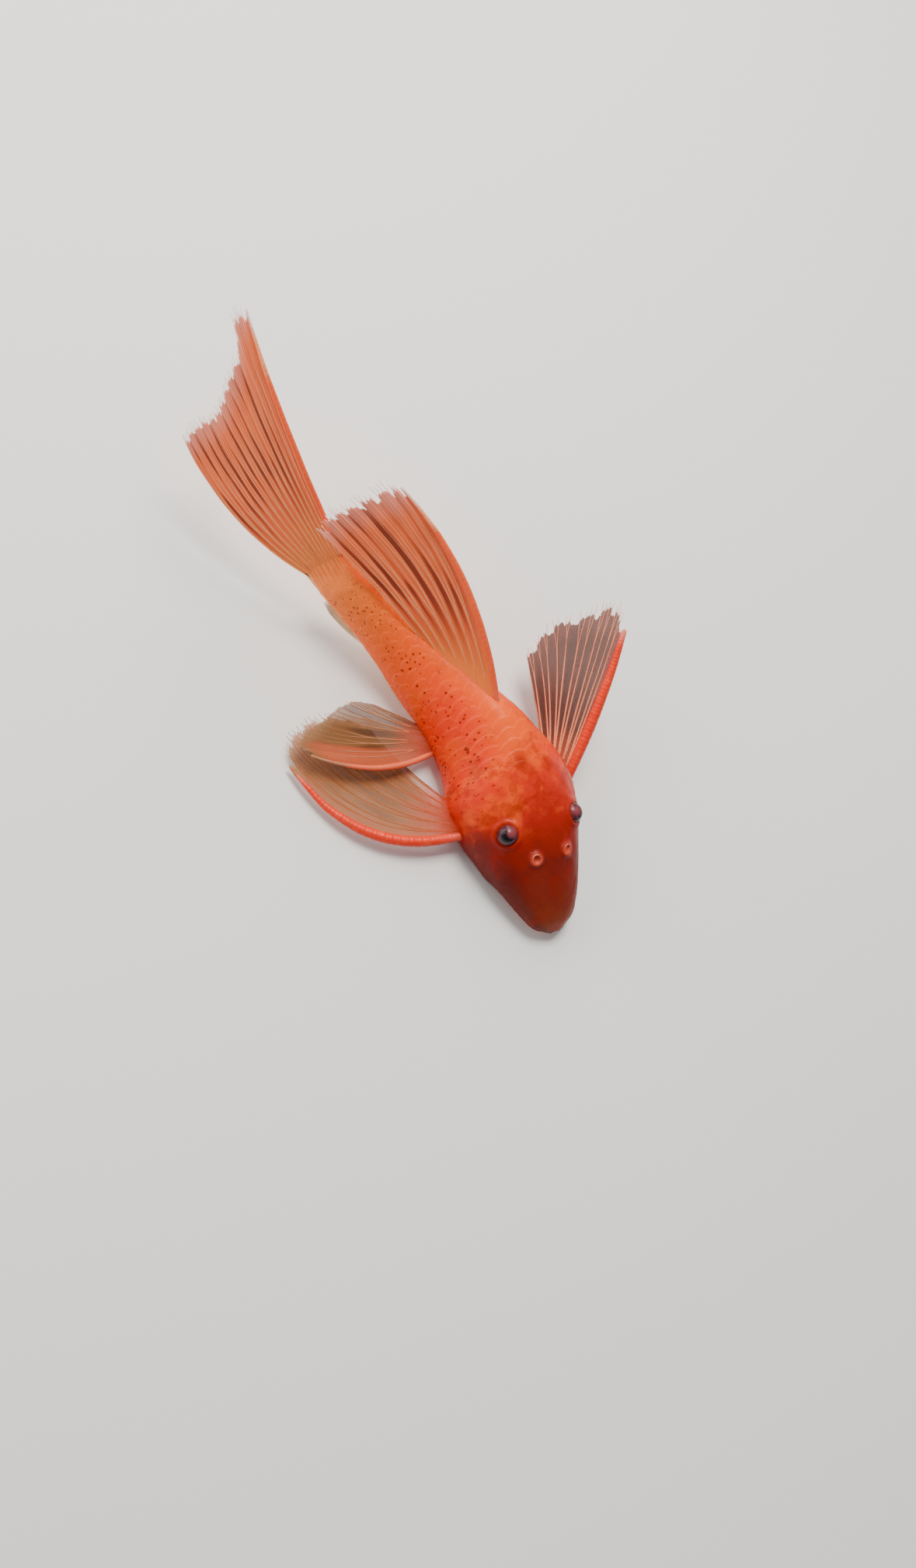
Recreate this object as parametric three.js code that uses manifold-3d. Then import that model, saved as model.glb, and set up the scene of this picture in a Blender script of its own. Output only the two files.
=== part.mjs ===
// Bristlenose catfish resting on its belly, with its tail swung to its right and raised.
// Millimetres, +Z up. The head points to -Y, the fish's left is +X, and the floor is z = 0.
// "Station" is the distance behind the snout along the bent body, as a share of the
// standard length. Other sizes written as shares are shares of the standard length too.
import * as THREE from 'three';
import Module from 'manifold-3d';
import { mergeVertices } from 'three/addons/utils/BufferGeometryUtils.js';

const wasm = await Module();
wasm.setup();

// Driving dimensions
const STANDARD_LENGTH = 70;
const GAP = 0.3;
const ORIGIN_STATION = 0.3;
const AXIS_HEIGHT = 0.1;
const TRUNK_SWING = THREE.MathUtils.degToRad(26.5);
const TAIL_SWING = THREE.MathUtils.degToRad(38.2);
const TAIL_RAISE = THREE.MathUtils.degToRad(16);
const TAIL_ROLL = THREE.MathUtils.degToRad(-22.4);

const HEAD_END = 0.34;
const TRUNK_END = 0.73;
const BODY_END = 1;
const RING_POINTS = 32;

const EYE_STATION = 0.226;
const EYE_ANGLE = THREE.MathUtils.degToRad(51);
const EYE_RADIUS = 1.8;
const EYE_SHOWING = 0.95;
const EYE_SIDES = 18;
const SOCKET_SIDES = 24;
const ORBIT_RISE = 0.55;
const ORBIT_LENGTH_SHARE = 0.036;
const ORBIT_SPREAD = 0.3;
const NOSTRIL_STATION = 0.157;
const NOSTRIL_ANGLE = THREE.MathUtils.degToRad(70);
const NOSTRIL_RADIUS = 1.1;
const NOSTRIL_RISE = 0.6;
const NOSTRIL_ROOT = 0.6;
const DISC_STATION = 0.075;
const DISC_HALF_WIDTH = 4.4;
const DISC_HALF_LENGTH = 3.9;
const DISC_THICKNESS = 1.25;
const DISC_SIDES = 28;
const MOUTH_HALF_WIDTH = 2.2;

const MEMBRANE = 0.5;
const RIM_HALF = 0.15;
const RAY_WIDTH_SHARE = 0.2;
const RAY_ROWS = 8;
const RAY_TAPER = 0.55;
const MEMBRANE_TAPER = 0.2;
const RIM_REACH = 0.99;
const MEMBRANE_REACH = 0.985;
const NOTCH_REACH = 0.965;
const RIM_PHASE = 0.12;
const RIM_OVERHANG = 0.35;
const RIGHT = -1;
const LEFT = 1;

// A smooth curve of value against station through the given pairs
function profile(pairs) {
  const slope = (i) => {
    const before = pairs[Math.max(i - 1, 0)];
    const after = pairs[Math.min(i + 1, pairs.length - 1)];
    return (after[1] - before[1]) / (after[0] - before[0]);
  };
  return (station) => {
    const last = pairs.length - 2;
    const found = pairs.findIndex((pair, i) => i > 0 && station <= pair[0]) - 1;
    const i = found < 0 ? last : found;
    const span = pairs[i + 1][0] - pairs[i][0];
    const t = THREE.MathUtils.clamp((station - pairs[i][0]) / span, 0, 1);
    const rise = t * t * (3 - 2 * t);
    const into = t * (1 - t) * (1 - t);
    const out = t * t * (t - 1);
    return pairs[i][1] * (1 - rise) + pairs[i + 1][1] * rise + span * (into * slope(i) + out * slope(i + 1));
  };
}

// Half width, back, belly and widest height of the body against station
const halfWidth = profile([
  [0, 0.012], [0.02, 0.05], [0.05, 0.07], [0.1, 0.092], [0.15, 0.111], [0.2, 0.129], [0.25, 0.145],
  [0.3, 0.153], [0.36, 0.143], [0.44, 0.116], [0.55, 0.087], [0.65, 0.064], [0.75, 0.048],
  [0.85, 0.039], [1, 0.029],
]);
const backHeight = profile([
  [0, 0.038], [0.02, 0.065], [0.05, 0.09], [0.1, 0.118], [0.15, 0.141], [0.2, 0.159], [0.25, 0.174],
  [0.3, 0.189], [0.38, 0.206], [0.46, 0.212], [0.55, 0.196], [0.65, 0.173], [0.75, 0.158],
  [0.85, 0.151], [1, 0.15],
]);
const bellyHeight = profile([
  [0, 0.025], [0.02, 0.023], [0.125, 0.023], [0.17, -0.012], [0.6, -0.012], [0.75, 0.012],
  [0.85, 0.03], [1, 0.043],
]);
const widestHeight = profile([
  [0, 0.031], [0.1, 0.046], [0.3, 0.056], [0.5, 0.068], [0.75, 0.088], [1, 0.097],
]);
const upperSquareness = profile([[0, 2.1], [0.3, 2.05], [0.5, 1.75], [0.7, 1.9], [1, 2.3]]);
const lowerSquareness = profile([[0, 2.2], [0.2, 3.2], [0.4, 2.8], [0.6, 2.2], [1, 2.1]]);

// Bent body axis
const AXIS_STEP = 0.005;
const AXIS_START = -0.1;
const AXIS_COUNT = 400;
const smooth = THREE.MathUtils.smoothstep;
const UP = new THREE.Vector3(0, 0, 1);

function heading(station) {
  const onward = TAIL_SWING - TRUNK_SWING;
  const swing = TRUNK_SWING * smooth(station, 0.25, 0.62) + onward * smooth(station, 0.62, 1);
  const raise = TAIL_RAISE * smooth(station, 0.5, 1);
  return new THREE.Vector3(
    -Math.sin(swing) * Math.cos(raise),
    Math.cos(swing) * Math.cos(raise),
    Math.sin(raise),
  );
}

const axisPoints = [new THREE.Vector3(0, (AXIS_START - ORIGIN_STATION) * STANDARD_LENGTH, 0)];
for (let i = 1; i < AXIS_COUNT; i += 1) {
  const step = heading(AXIS_START + (i - 0.5) * AXIS_STEP).multiplyScalar(AXIS_STEP * STANDARD_LENGTH);
  axisPoints.push(step.add(axisPoints[i - 1]));
}

function frameAt(station) {
  const index = (station - AXIS_START) / AXIS_STEP;
  const low = THREE.MathUtils.clamp(Math.floor(index), 0, AXIS_COUNT - 2);
  const centre = new THREE.Vector3().lerpVectors(axisPoints[low], axisPoints[low + 1], index - low);
  centre.z += AXIS_HEIGHT * STANDARD_LENGTH;
  const back = heading(station);
  const level = new THREE.Vector3().crossVectors(back, UP).normalize();
  const upright = new THREE.Vector3().crossVectors(level, back);
  const roll = TAIL_ROLL * smooth(station, 0.3, 1);
  const left = level.clone().multiplyScalar(Math.cos(roll)).addScaledVector(upright, Math.sin(roll));
  const up = upright.clone().multiplyScalar(Math.cos(roll)).addScaledVector(level, -Math.sin(roll));
  return { centre, back, left, up };
}

// A point given by station, share to the left and share above the floor line
function place(station, left, height) {
  const frame = frameAt(station);
  return frame.centre
    .addScaledVector(frame.left, left * STANDARD_LENGTH)
    .addScaledVector(frame.up, (height - AXIS_HEIGHT) * STANDARD_LENGTH);
}

// Solids
function solidFrom(points, triangles) {
  const corners = new Float32Array(points.flatMap((point) => point.toArray()));
  let volume = 0;
  for (const [a, b, c] of triangles) {
    volume += points[a].dot(new THREE.Vector3().crossVectors(points[b], points[c]));
  }
  const outward = volume > 0 ? triangles : triangles.map(([a, b, c]) => [a, c, b]);
  const triVerts = new Uint32Array(outward.flat());
  return new wasm.Manifold(new wasm.Mesh({ numProp: 3, vertProperties: corners, triVerts }));
}

function solidOf(geometry) {
  const bare = geometry.index ? geometry.clone() : geometry;
  bare.deleteAttribute('normal');
  bare.deleteAttribute('uv');
  const merged = mergeVertices(bare, 1e-4);
  const at = merged.getAttribute('position');
  const points = [];
  for (let i = 0; i < at.count; i += 1) {
    points.push(new THREE.Vector3().fromBufferAttribute(at, i));
  }
  const index = Array.from(merged.getIndex().array);
  const triangles = [];
  for (let i = 0; i < index.length; i += 3) {
    const corner = index.slice(i, i + 3);
    if (new Set(corner).size === 3) {
      triangles.push(corner);
    }
  }
  return solidFrom(points, triangles);
}

function largestPiece(solid) {
  return solid.decompose().sort((a, b) => b.volume() - a.volume())[0];
}

function addPart(group, name, solid, color, roughness) {
  const mesh = largestPiece(solid).getMesh();
  const geometry = new THREE.BufferGeometry();
  geometry.setAttribute('position', new THREE.BufferAttribute(Float32Array.from(mesh.vertProperties), 3));
  geometry.setIndex(Array.from(mesh.triVerts));
  const part = new THREE.Mesh(geometry, new THREE.MeshStandardMaterial({ color, roughness, metalness: 0 }));
  part.name = name;
  group.add(part);
}

// Body skin
function skinPoint(station, angle, grow) {
  const cos = Math.cos(angle);
  const sin = Math.sin(angle);
  const squareness = sin > 0 ? upperSquareness(station) : lowerSquareness(station);
  const grown = grow / STANDARD_LENGTH;
  const middle = widestHeight(station);
  const reach = sin > 0 ? backHeight(station) + grown - middle : middle - bellyHeight(station) + grown;
  const across = (halfWidth(station) + grown) * Math.sign(cos) * Math.abs(cos) ** (2 / squareness);
  const along = middle + reach * Math.sign(sin) * Math.abs(sin) ** (2 / squareness);
  const lean = Math.abs(Math.atan2(sin, Math.abs(cos)) - EYE_ANGLE);
  const orbit = Math.exp(-(((station - EYE_STATION) / ORBIT_LENGTH_SHARE) ** 2) - (lean / ORBIT_SPREAD) ** 2);
  const rise = (orbit * ORBIT_RISE) / STANDARD_LENGTH;
  const point = place(station, across + rise * cos, along + rise * sin);
  point.z = Math.max(point.z, -grow);
  return point;
}

// Length of body between two stations; rings crowd towards the snout, which ends in a point
const SNOUT_CROWDING = 1.6;
const SNOUT_POINT = 0.004;

function bodySolid(start, end, stations, grow) {
  const points = [];
  const triangles = [];
  const power = start > 0 ? 1 : SNOUT_CROWDING;
  for (let i = 0; i <= stations; i += 1) {
    const station = start + (end - start) * (i / stations) ** power;
    for (let j = 0; j < RING_POINTS; j += 1) {
      points.push(skinPoint(station, (j / RING_POINTS) * 2 * Math.PI, grow));
    }
  }
  for (let i = 0; i < stations; i += 1) {
    for (let j = 0; j < RING_POINTS; j += 1) {
      const a = i * RING_POINTS + j;
      const b = i * RING_POINTS + ((j + 1) % RING_POINTS);
      triangles.push([a, b, a + RING_POINTS], [b, b + RING_POINTS, a + RING_POINTS]);
    }
  }
  const first = points.length;
  const last = first + 1;
  points.push(place(start - (start > 0 ? 0 : SNOUT_POINT), 0, widestHeight(start)));
  points.push(place(end, 0, widestHeight(end)));
  for (let j = 0; j < RING_POINTS; j += 1) {
    const next = (j + 1) % RING_POINTS;
    const ring = stations * RING_POINTS;
    triangles.push([first, next, j], [last, ring + j, ring + next]);
  }
  return solidFrom(points, triangles);
}

// Point on the skin and the way it faces there, for what stands on the head
const SEAT_STEP = 0.01;

function skinSeat(station, angle) {
  const small = SEAT_STEP;
  const point = skinPoint(station, angle, 0);
  const along = skinPoint(station + small, angle, 0).sub(skinPoint(station - small, angle, 0));
  const around = skinPoint(station, angle + small, 0).sub(skinPoint(station, angle - small, 0));
  const facing = new THREE.Vector3().crossVectors(around, along).normalize();
  return { point, facing: facing.z < 0 ? facing.negate() : facing };
}

function eyeball(side, radius, detail) {
  const angle = side > 0 ? EYE_ANGLE : Math.PI - EYE_ANGLE;
  const seat = skinSeat(EYE_STATION, angle);
  const centre = seat.point.addScaledVector(seat.facing, EYE_SHOWING - EYE_RADIUS);
  const ball = new THREE.SphereGeometry(radius, detail, detail / 2);
  ball.translate(centre.x, centre.y, centre.z);
  return solidOf(ball);
}

function nostril(side) {
  const angle = side > 0 ? NOSTRIL_ANGLE : Math.PI - NOSTRIL_ANGLE;
  const seat = skinSeat(NOSTRIL_STATION, angle);
  const outline = [
    [0, -NOSTRIL_ROOT], [NOSTRIL_RADIUS, -NOSTRIL_ROOT], [NOSTRIL_RADIUS * 0.85, NOSTRIL_RISE * 0.7],
    [NOSTRIL_RADIUS * 0.65, NOSTRIL_RISE], [NOSTRIL_RADIUS * 0.45, NOSTRIL_RISE * 0.6], [0, 0.05],
  ];
  const cup = new THREE.LatheGeometry(outline.map(([r, z]) => new THREE.Vector2(r, z)), 10);
  const turn = new THREE.Quaternion().setFromUnitVectors(new THREE.Vector3(0, 1, 0), seat.facing);
  cup.applyQuaternion(turn);
  cup.translate(seat.point.x, seat.point.y, seat.point.z);
  return solidOf(cup);
}

// Sucker: a low dome with rolled lips, flat on the floor, and the mouth cut up into it
function mouthDisc() {
  const outline = [[0, 0], [0.94, 0], [1, 0.3], [0.9, 0.75], [0.6, 1], [0, 1]];
  const dome = new THREE.LatheGeometry(outline.map(([r, z]) => new THREE.Vector2(r, z)), DISC_SIDES);
  dome.rotateX(Math.PI / 2);
  dome.scale(DISC_HALF_WIDTH, DISC_HALF_LENGTH, DISC_THICKNESS);
  const mouth = new THREE.SphereGeometry(MOUTH_HALF_WIDTH, 16, 8);
  mouth.scale(1, 0.45, 0.35);
  mouth.translate(0, -0.4, 0);
  const solid = solidOf(dome).subtract(solidOf(mouth));
  return solid.translate([0, (DISC_STATION - ORIGIN_STATION) * STANDARD_LENGTH, 0]);
}

// Fins: a fan of rays from a base line to a tip curve, each ray bowed through a middle point.
// Rays stand out as ridges in the membrane's two faces and reach a little past its edge.
function finSolid({ rays, base, middle, tips, spine, ray, rows = RAY_ROWS }) {
  const columns = [{ across: -RIM_PHASE, half: RIM_HALF, reach: RIM_REACH }];
  const ridge = RAY_WIDTH_SHARE;
  for (let i = 0; i < rays; i += 1) {
    const half = (i === 0 ? spine : ray) / 2;
    if (i > 0) {
      columns.push({ across: i - ridge, half: MEMBRANE / 2, reach: MEMBRANE_REACH });
    }
    columns.push({ across: i, half, reach: 1, crest: true });
    if (i < rays - 1) {
      columns.push({ across: i + ridge, half: MEMBRANE / 2, reach: MEMBRANE_REACH });
      columns.push({ across: i + 0.5, half: MEMBRANE / 2, reach: NOTCH_REACH });
    }
  }
  columns.push({ across: rays - 1 + RIM_PHASE, half: RIM_HALF, reach: RIM_REACH });
  const baseLine = new THREE.CatmullRomCurve3(base);
  const middleLine = new THREE.CatmullRomCurve3(middle);
  const tipLine = new THREE.CatmullRomCurve3(tips);
  const surface = (u, v) => {
    const share = THREE.MathUtils.clamp(v, 0, 1);
    const over = v - share;
    const from = baseLine.getPoint(share);
    const through = middleLine.getPoint(share);
    const to = tipLine.getPoint(share);
    const control = through.clone().multiplyScalar(2).addScaledVector(from, -0.5).addScaledVector(to, -0.5);
    const point = new THREE.QuadraticBezierCurve3(from, control, to).getPoint(u);
    const aside = tipLine.getTangent(share);
    return point.addScaledVector(aside, over * from.distanceTo(to) * RIM_OVERHANG);
  };
  const small = 0.004;
  const front = [];
  const rear = [];
  for (const column of columns) {
    const v = column.across / (rays - 1);
    for (let j = 0; j <= rows; j += 1) {
      const u = (j / rows) * column.reach;
      const inner = THREE.MathUtils.clamp(v, small, 1 - small);
      const along = surface(u + small, inner).sub(surface(u - small, inner));
      const across = surface(u, inner + small).sub(surface(u, inner - small));
      const normal = new THREE.Vector3().crossVectors(along, across).normalize();
      const taper = 1 - (column.crest ? RAY_TAPER : MEMBRANE_TAPER) * u;
      const half = Math.max(column.half * taper, RIM_HALF);
      const point = surface(u, v);
      front.push(point.clone().addScaledVector(normal, half));
      rear.push(point.clone().addScaledVector(normal, -half));
    }
  }
  const count = rows + 1;
  const offset = front.length;
  const triangles = [];
  const strip = (a, b, c, d) => triangles.push([a, b, d], [b, c, d]);
  for (let i = 0; i < columns.length - 1; i += 1) {
    for (let j = 0; j < rows; j += 1) {
      const a = i * count + j;
      const b = a + count;
      triangles.push([a, b, a + 1], [b, b + 1, a + 1]);
      triangles.push([a + offset, a + 1 + offset, b + offset], [b + offset, a + 1 + offset, b + 1 + offset]);
    }
    const root = i * count;
    const tip = root + rows;
    strip(root + offset, root + count + offset, root + count, root);
    strip(tip, tip + count, tip + count + offset, tip + offset);
  }
  const end = (columns.length - 1) * count;
  for (let j = 0; j < rows; j += 1) {
    strip(j, j + 1, j + 1 + offset, j + offset);
    strip(end + j + offset, end + j + 1 + offset, end + j + 1, end + j);
  }
  return solidFrom([...front, ...rear], triangles);
}

const cutBack = bodySolid(0, BODY_END, 60, GAP);

function rootedFin(sizes) {
  return finSolid(sizes).subtract(cutBack);
}

// Fins of the middle line: points are station, share to the left, share above the floor line
const inLine = (list) => list.map(([station, left, height]) => place(station, left, height));

const dorsalFin = () => rootedFin({
  rays: 8,
  spine: 1.1,
  ray: 0.9,
  base: inLine([[0.478, 0, 0.185], [0.57, 0, 0.17], [0.664, 0, 0.15]]),
  middle: inLine([[0.757, 0.004, 0.335], [0.79, 0, 0.285], [0.83, -0.012, 0.22], [0.86, -0.026, 0.174]]),
  tips: inLine([
    [1.03, 0.01, 0.362], [1.055, 0.004, 0.345], [1.067, -0.004, 0.294], [1.08, -0.014, 0.245],
    [1.09, -0.024, 0.21], [1.07, -0.036, 0.172],
  ]),
});

const caudalFin = () => rootedFin({
  rays: 14,
  spine: 1,
  ray: 0.8,
  base: inLine([[0.985, 0, 0.146], [0.985, 0, 0.097], [0.985, 0, 0.048]]),
  middle: inLine([[1.268, 0.02, 0.256], [1.2, 0.02, 0.13], [1.18, 0.02, 0.008]]),
  tips: inLine([
    [1.494, 0.09, 0.342], [1.507, 0.087, 0.318], [1.443, 0.082, 0.262], [1.421, 0.078, 0.214],
    [1.396, 0.074, 0.167], [1.378, 0.07, 0.13], [1.382, 0.066, 0.102], [1.387, 0.062, 0.07],
    [1.377, 0.06, 0.034],
  ]),
});

const analFin = () => rootedFin({
  rays: 5,
  spine: 0.8,
  ray: 0.7,
  rows: 6,
  base: inLine([[0.737, 0, 0.03], [0.785, 0, 0.035]]),
  middle: inLine([[0.822, 0, 0.012], [0.85, 0, 0.03]]),
  tips: inLine([[0.89, 0, 0.012], [0.915, 0, 0.026], [0.91, 0, 0.04]]),
});

const adiposeFin = () => rootedFin({
  rays: 2,
  spine: 0.9,
  ray: 0.5,
  rows: 5,
  base: inLine([[0.85, 0, 0.14], [0.905, 0, 0.14]]),
  middle: inLine([[0.885, 0.002, 0.168], [0.91, 0.002, 0.155]]),
  tips: inLine([[0.925, 0.006, 0.18], [0.93, 0.006, 0.158]]),
});

// Paired fins lie in the level frame of their own station: share outward, back and above the floor
function sideFin(side, station, sizes) {
  const frame = frameAt(station);
  const out = frame.left.clone().setZ(0).normalize().multiplyScalar(side);
  const back = frame.back.clone().setZ(0).normalize();
  const foot = frame.centre.clone().setZ(0);
  const toPoint = ([outward, behind, height]) => foot.clone()
    .addScaledVector(out, outward * STANDARD_LENGTH)
    .addScaledVector(back, behind * STANDARD_LENGTH)
    .addScaledVector(UP, height * STANDARD_LENGTH);
  return rootedFin({
    ...sizes,
    base: sizes.base.map(toPoint),
    middle: sizes.middle.map(toPoint),
    tips: sizes.tips.map(toPoint),
  });
}

const PECTORAL_STATION = 0.3;
const PELVIC_STATION = 0.53;

const pectoralRight = () => sideFin(RIGHT, PECTORAL_STATION, {
  rays: 7,
  spine: 1.7,
  ray: 0.8,
  base: [[0.125, -0.028, 0.05], [0.125, 0.035, 0.042]],
  middle: [[0.34, 0.045, 0.032], [0.31, 0.12, 0.02], [0.25, 0.16, 0.014], [0.19, 0.165, 0.014]],
  tips: [
    [0.452, 0.242, 0.02], [0.436, 0.305, 0.014], [0.37, 0.335, 0.012], [0.29, 0.32, 0.012],
    [0.235, 0.27, 0.012],
  ],
});

const PECTORAL_LIFT = THREE.MathUtils.degToRad(45);

const pectoralLeft = () => {
  const raised = ([outward, behind]) => [
    0.15 + outward * Math.cos(PECTORAL_LIFT),
    behind,
    0.055 + outward * Math.sin(PECTORAL_LIFT),
  ];
  return sideFin(LEFT, PECTORAL_STATION, {
    rays: 7,
    spine: 1.7,
    ray: 0.8,
    base: [[-0.025, -0.022], [-0.025, 0.035]].map(raised),
    middle: [[0.14, 0.125], [0.12, 0.165], [0.07, 0.185], [0.01, 0.17]].map(raised),
    tips: [[0.272, 0.265], [0.28, 0.33], [0.217, 0.34], [0.12, 0.352], [0.044, 0.314]].map(raised),
  });
};

const pelvicRight = () => sideFin(RIGHT, PELVIC_STATION, {
  rays: 6,
  spine: 1.1,
  ray: 0.8,
  base: [[0.07, -0.024, 0.036], [0.07, 0.03, 0.036]],
  middle: [[0.225, 0.03, 0.05], [0.22, 0.09, 0.05], [0.15, 0.11, 0.044], [0.105, 0.095, 0.04]],
  tips: [
    [0.344, 0.153, 0.062], [0.352, 0.2, 0.06], [0.27, 0.2, 0.054], [0.18, 0.19, 0.048],
    [0.135, 0.15, 0.044],
  ],
});

const pelvicLeft = () => sideFin(LEFT, PELVIC_STATION, {
  rays: 6,
  spine: 1.1,
  ray: 0.8,
  base: [[0.07, -0.024, 0.03], [0.07, 0.03, 0.034]],
  middle: [[0.165, 0.065, 0.02], [0.155, 0.11, 0.018], [0.115, 0.125, 0.018]],
  tips: [[0.235, 0.19, 0.014], [0.225, 0.24, 0.014], [0.165, 0.255, 0.014], [0.105, 0.225, 0.016]],
});

// Assembly
const SKIN_RED = 0xc8321a;
const FIN_ORANGE = 0xe2603a;
const MOUTH_PINK = 0xd98a72;
const EYE_DARK = 0x2a2228;

const fish = new THREE.Group();
const halfGap = GAP / STANDARD_LENGTH / 2;

let head = bodySolid(0, HEAD_END - halfGap, 26, 0);
for (const side of [RIGHT, LEFT]) {
  head = head.add(nostril(side)).subtract(eyeball(side, EYE_RADIUS + GAP, SOCKET_SIDES));
}
addPart(fish, 'head', head, SKIN_RED, 0.5);
addPart(fish, 'trunk', bodySolid(HEAD_END + halfGap, TRUNK_END - halfGap, 18, 0), SKIN_RED, 0.5);
addPart(fish, 'tail_stalk', bodySolid(TRUNK_END + halfGap, BODY_END, 10, 0), SKIN_RED, 0.5);
addPart(fish, 'mouth_disc', mouthDisc(), MOUTH_PINK, 0.6);
addPart(fish, 'eye_left', eyeball(LEFT, EYE_RADIUS, EYE_SIDES), EYE_DARK, 0.15);
addPart(fish, 'eye_right', eyeball(RIGHT, EYE_RADIUS, EYE_SIDES), EYE_DARK, 0.15);
addPart(fish, 'dorsal_fin', dorsalFin(), FIN_ORANGE, 0.45);
addPart(fish, 'adipose_fin', adiposeFin(), FIN_ORANGE, 0.45);
addPart(fish, 'caudal_fin', caudalFin(), FIN_ORANGE, 0.45);
addPart(fish, 'anal_fin', analFin(), FIN_ORANGE, 0.45);
addPart(fish, 'pectoral_fin_right', pectoralRight(), FIN_ORANGE, 0.45);
addPart(fish, 'pectoral_fin_left', pectoralLeft(), FIN_ORANGE, 0.45);
addPart(fish, 'pelvic_fin_right', pelvicRight(), FIN_ORANGE, 0.45);
addPart(fish, 'pelvic_fin_left', pelvicLeft(), FIN_ORANGE, 0.45);

export default fish;
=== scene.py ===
import bpy
import numpy as np
from mathutils import Matrix


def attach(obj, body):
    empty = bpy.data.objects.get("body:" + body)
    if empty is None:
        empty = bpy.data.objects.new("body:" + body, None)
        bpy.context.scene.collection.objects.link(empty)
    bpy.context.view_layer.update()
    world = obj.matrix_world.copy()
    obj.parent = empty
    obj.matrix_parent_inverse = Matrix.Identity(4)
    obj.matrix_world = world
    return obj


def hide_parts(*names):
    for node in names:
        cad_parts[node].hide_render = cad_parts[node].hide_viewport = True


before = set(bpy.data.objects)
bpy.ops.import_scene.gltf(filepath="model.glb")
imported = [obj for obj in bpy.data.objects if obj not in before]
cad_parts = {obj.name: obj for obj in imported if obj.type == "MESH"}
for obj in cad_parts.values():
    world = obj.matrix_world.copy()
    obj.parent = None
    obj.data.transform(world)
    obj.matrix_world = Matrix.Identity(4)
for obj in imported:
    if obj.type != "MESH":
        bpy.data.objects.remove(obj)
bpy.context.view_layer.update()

# Driving sizes, the same as the solids'
MM = 0.001
LENGTH = 70 * MM
ORIGIN_STATION = 0.3
AXIS_HEIGHT = 0.1
TRUNK_SWING = np.radians(26.5)
TAIL_SWING = np.radians(38.2)
TAIL_RAISE = np.radians(16)
TAIL_ROLL = np.radians(-22.4)
EYE_STATION = 0.226
EYE_ANGLE = np.radians(51)
EYE_RADIUS = 1.8 * MM
EYE_SHOWING = 0.95 * MM
ORBIT_RISE = 0.55 * MM
NOSTRIL_STATION = 0.157
NOSTRIL_ANGLE = np.radians(70)
NOSTRIL_RADIUS = 0.88 * MM
DISC_STATION = 0.075
DISC_HALF_WIDTH = 4.4 * MM
DISC_HALF_LENGTH = 3.9 * MM
DISC_THICKNESS = 1.5 * MM
PECTORAL_STATION = 0.3
PELVIC_STATION = 0.53
PECTORAL_LIFT = np.radians(45)

SEED = 11
draw = np.random.default_rng(SEED)


# Camera: the photograph's view, found from the fish's own landmarks
PHOTO_HEIGHT = 2019
FOCAL_PIXELS = 2200
CAMERA_AZIMUTH = np.radians(-75.7)
CAMERA_ELEVATION = np.radians(59.3)
CAMERA_ROLL = np.radians(56.0)
CAMERA_DISTANCE = 3.757 * LENGTH
CAMERA_TARGET = np.array([-0.133, 0.374 - ORIGIN_STATION, 0.1]) * LENGTH
SENSOR = 36.0


def unit(vector):
    return vector / np.linalg.norm(vector, axis=-1, keepdims=True)


def camera_axes():
    away = np.array([
        np.sin(CAMERA_AZIMUTH) * np.cos(CAMERA_ELEVATION),
        -np.cos(CAMERA_AZIMUTH) * np.cos(CAMERA_ELEVATION),
        np.sin(CAMERA_ELEVATION),
    ])
    level = unit(np.cross(-away, [0, 0, 1]))
    upright = np.cross(level, -away)
    right = level * np.cos(CAMERA_ROLL) + upright * np.sin(CAMERA_ROLL)
    up = upright * np.cos(CAMERA_ROLL) - level * np.sin(CAMERA_ROLL)
    return right, up, away


def pose_matrix(right, up, away, place_at):
    matrix = Matrix.Identity(4)
    for column, vector in enumerate((right, up, away, place_at)):
        for row in range(3):
            matrix[row][column] = vector[row]
    return matrix


def add_object(name, data):
    item = bpy.data.objects.new(name, data)
    bpy.context.collection.objects.link(item)
    return item


def make_camera():
    right, up, away = camera_axes()
    data = bpy.data.cameras.new("camera")
    data.sensor_fit = "VERTICAL"
    data.sensor_height = SENSOR
    data.sensor_width = SENSOR
    data.lens = FOCAL_PIXELS / PHOTO_HEIGHT * SENSOR
    data.clip_start = 0.01
    data.clip_end = 20
    camera = add_object("camera", data)
    camera.matrix_world = pose_matrix(right, up, away, CAMERA_TARGET + away * CAMERA_DISTANCE)
    bpy.context.scene.camera = camera


# Curves and profiles
def profile(pairs):
    """A smooth curve of value against station through the given pairs."""
    stations, values = np.array(pairs, float).T
    before = np.maximum(np.arange(len(stations)) - 1, 0)
    after = np.minimum(np.arange(len(stations)) + 1, len(stations) - 1)
    slopes = (values[after] - values[before]) / (stations[after] - stations[before])

    def value_at(station):
        i = np.clip(np.searchsorted(stations, station) - 1, 0, len(stations) - 2)
        span = stations[i + 1] - stations[i]
        t = np.clip((station - stations[i]) / span, 0, 1)
        rise = t * t * (3 - 2 * t)
        into = t * (1 - t) ** 2
        out = t * t * (t - 1)
        level = values[i] * (1 - rise) + values[i + 1] * rise
        return level + span * (into * slopes[i] + out * slopes[i + 1])

    return value_at


def smooth(value, low, high):
    t = np.clip((value - low) / (high - low), 0, 1)
    return t * t * (3 - 2 * t)


def hump(value, centre, width):
    return np.exp(-(((value - centre) / width) ** 2))


def plateau(value, width):
    return np.exp(-((value / width) ** 4))


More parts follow.
